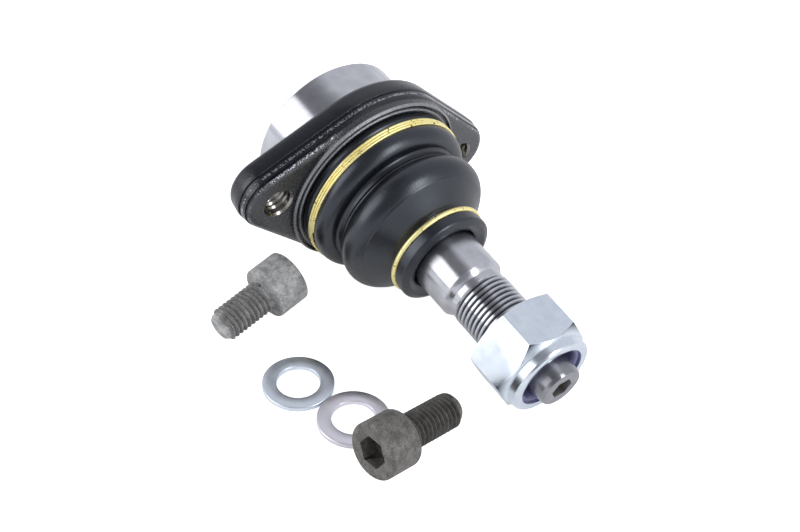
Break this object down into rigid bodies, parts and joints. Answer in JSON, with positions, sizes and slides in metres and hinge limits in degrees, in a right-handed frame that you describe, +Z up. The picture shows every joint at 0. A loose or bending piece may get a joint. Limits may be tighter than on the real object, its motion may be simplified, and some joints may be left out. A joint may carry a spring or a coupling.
{
  "type": "suspension ball joint with lock nut, screws and washers",
  "caption": "Flanged front lower ball joint with a pleated rubber boot, straight threaded stud and lock nut, with loose cap screws and flat washers beside it.",
  "frame": {"origin": "centre of the ball, where the stud's three rotations meet", "axes": "+Z up from the table the set lies on, +X along the table in the direction the stud points, +Y completes the right-handed set; the joint's own axis lies in the XZ plane and slopes down 10.7 degrees towards the stud's end"},
  "size_m": [0.116, 0.1045, 0.0583],
  "materials": {
    "housing_paint": "black paint on forged steel, spigot turned bright",
    "cover_steel": "pressed sheet steel",
    "shell_plastic": "moulded acetal",
    "stud_steel": "ground alloy steel",
    "boot_rubber": "satin black rubber",
    "ring_steel": "yellow passivated spring wire",
    "nut_zinc": "bright zinc plate",
    "insert_nylon": "pale nylon",
    "screw_steel": "matte phosphate",
    "washer_zinc": "zinc plate"
  },
  "bodies": {
    "housing": {"housing": "housing_paint", "end_cover": "cover_steel", "bearing_shell": "shell_plastic", "boot_ring_large": "ring_steel"},
    "boot": {"dust_boot": "boot_rubber"},
    "boot_neck": {"boot_ring_small": "ring_steel"},
    "stud": {"ball_stud": "stud_steel"},
    "nut_carrier": {"nut_insert": "insert_nylon"},
    "nut": {"lock_nut": "nut_zinc"},
    "screw_1": {"cap_screw_1": "screw_steel"},
    "screw_2": {"cap_screw_2": "screw_steel"},
    "washer_1": {"washer_1": "washer_zinc"},
    "washer_2": {"washer_2": "washer_zinc"}
  },
  "joints": [
    {"name": "swing_direction", "type": "hinge", "parent": "housing", "child": "boot", "pos_m": [0, 0, 0], "axis": [-0.9827, 0, 0.1853], "continuous": true},
    {"name": "stud_tilt", "type": "hinge", "parent": "boot", "child": "boot_neck", "pos_m": [0, 0, 0], "axis": [0, -1, 0], "range_deg": [0, 22], "deforming": ["dust_boot"]},
    {"name": "stud_spin", "type": "hinge", "parent": "boot_neck", "child": "stud", "pos_m": [0, 0, 0], "axis": [0.9827, 0, -0.1853], "continuous": true},
    {"name": "nut_travel", "type": "slide", "parent": "stud", "child": "nut_carrier", "axis": [0.9827, 0, -0.1853], "range_m": [-0.0121, 0.0121], "deforming": ["nut_insert"]},
    {"name": "nut_turn", "type": "hinge", "parent": "nut_carrier", "child": "nut", "pos_m": [0.07537, 0, -0.01421], "axis": [0.9827, 0, -0.1853], "range_deg": [-2880, 2880]},
    {"name": "screw_1_lift", "type": "slide", "parent": "housing", "child": "screw_1", "axis": [0, -0.8499, 0.5269], "range_m": [0, 0.1]},
    {"name": "screw_2_lift", "type": "slide", "parent": "housing", "child": "screw_2", "axis": [0, 0, 1], "range_m": [0, 0.1]},
    {"name": "washer_1_lift", "type": "slide", "parent": "housing", "child": "washer_1", "axis": [0, 0, 1], "range_m": [0, 0.1]},
    {"name": "washer_2_lift", "type": "slide", "parent": "housing", "child": "washer_2", "axis": [-0.135, 0.5574, 0.8192], "range_m": [0, 0.1]}
  ],
  "couplings": [
    {"joint": "nut_travel", "follows": "nut_turn", "m_per_rad": 0.00023873}
  ]
}
